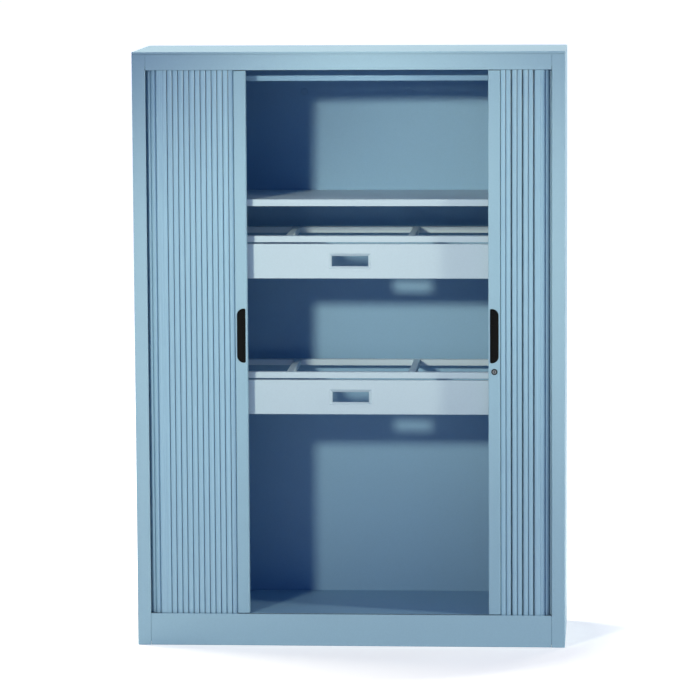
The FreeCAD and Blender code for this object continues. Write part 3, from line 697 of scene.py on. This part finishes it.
corners = [(-GROUND_HALF, -GROUND_HALF, 0), (GROUND_HALF, -GROUND_HALF, 0)]
corners += [(GROUND_HALF, GROUND_HALF, 0), (-GROUND_HALF, GROUND_HALF, 0)]
ground = bpy.data.meshes.new("ground")
ground.from_pydata(corners, [], [(0, 1, 2, 3)])
ground.materials.append(floor_material())
floor = bpy.data.objects.new("ground", ground)
bpy.context.scene.collection.objects.link(floor)


# World: a cool fill on the object, white for the view and for reflections

FILL_COLOR = (0.08, 0.28, 1.0, 1)
FILL_STRENGTH = 0.28

world = bpy.data.worlds.new("studio")
bpy.context.scene.world = world
world.use_nodes = True
tree = world.node_tree
fill = tree.nodes["Background"]
fill.inputs["Color"].default_value = FILL_COLOR
fill.inputs["Strength"].default_value = FILL_STRENGTH
white = tree.nodes.new("ShaderNodeBackground")
white.inputs["Color"].default_value = (1, 1, 1, 1)
rays = tree.nodes.new("ShaderNodeLightPath")
seen = rays.outputs["Is Camera Ray"]
for kind in ("Is Glossy Ray", "Is Transmission Ray"):
    either = tree.nodes.new("ShaderNodeMath")
    either.operation = "MAXIMUM"
    tree.links.new(seen, either.inputs[0])
    tree.links.new(rays.outputs[kind], either.inputs[1])
    seen = either.outputs[0]
mix = tree.nodes.new("ShaderNodeMixShader")
tree.links.new(seen, mix.inputs["Fac"])
tree.links.new(fill.outputs["Background"], mix.inputs[1])
tree.links.new(white.outputs["Background"], mix.inputs[2])
tree.links.new(mix.outputs["Shader"], tree.nodes["World Output"].inputs["Surface"])


# Lamps, in watts, metres and degrees

WARM = (1.0, 0.91, 0.69)
KEY = (-2.6, -5.6, 2.8)
GRAZING = (6.0, -1.85, 1.9)
BEAM_SOFTNESS = 0.3


def lamp(name, kind, power, place, aim, **values):
    """A warm lamp that looks at a point."""
    light = bpy.data.lights.new(name, kind)
    light.energy = power
    light.color = WARM
    for key, value in values.items():
        setattr(light, key, value)
    obj = bpy.data.objects.new(name, light)
    bpy.context.scene.collection.objects.link(obj)
    obj.location = place
    obj.rotation_mode = "QUATERNION"
    obj.rotation_quaternion = (Vector(aim) - Vector(place)).to_track_quat("-Z", "Y")


def beam(name, power, place, aim, angle, blend=1.0):
    """A soft-edged spot."""
    spread = math.radians(angle)
    lamp(name, "SPOT", power, place, aim, spot_size=spread, spot_blend=blend, shadow_soft_size=BEAM_SOFTNESS)


beam("key", power=670, place=KEY, aim=(0.2, 0.0, 0.5), angle=22, blend=0.5)
beam("key_high", power=670, place=KEY, aim=(0.45, 0.0, 1.2), angle=16)
beam("key_top", power=660, place=KEY, aim=(0.13, 0.0, 1.68), angle=7)
beam("key_left", power=420, place=KEY, aim=(-0.42, 0.0, 0.88), angle=14, blend=0.9)
beam("grazing", power=1000, place=GRAZING, aim=(0.0, 0.0, 0.85), angle=26, blend=0.5)
lamp("high_left", "AREA", power=320, place=(-2.8, 1.4, 6.0), aim=(-0.1, 0.1, 1.2), size=2.0)
lamp("back_right", "AREA", power=60, place=(2.8, 3.8, 4.0), aim=(0.2, 0.1, 0.9), size=1.6)


# Camera, in metres, degrees and pixels of the photograph's frame

SENSOR = 36.0
FRAME_PIXELS = 700
FOCAL_PIXELS = 3991.0
CAMERA_PLACE = Vector((0.74, -11.21, 2.15))
CAMERA_AIM = Vector((-0.0119, 0.0, 0.8121))
CAMERA_ROLL = -0.318

eye = bpy.data.cameras.new("camera")
camera = bpy.data.objects.new("camera", eye)
bpy.context.scene.collection.objects.link(camera)
eye.sensor_width = SENSOR
eye.lens = FOCAL_PIXELS * SENSOR / FRAME_PIXELS
eye.clip_end = 200.0
camera.location = CAMERA_PLACE
roll = Quaternion((0, 0, 1), math.radians(CAMERA_ROLL))
camera.rotation_mode = "QUATERNION"
camera.rotation_quaternion = (CAMERA_AIM - CAMERA_PLACE).to_track_quat("-Z", "Y") @ roll
bpy.context.scene.camera = camera
bpy.context.scene.view_settings.view_transform = "Standard"
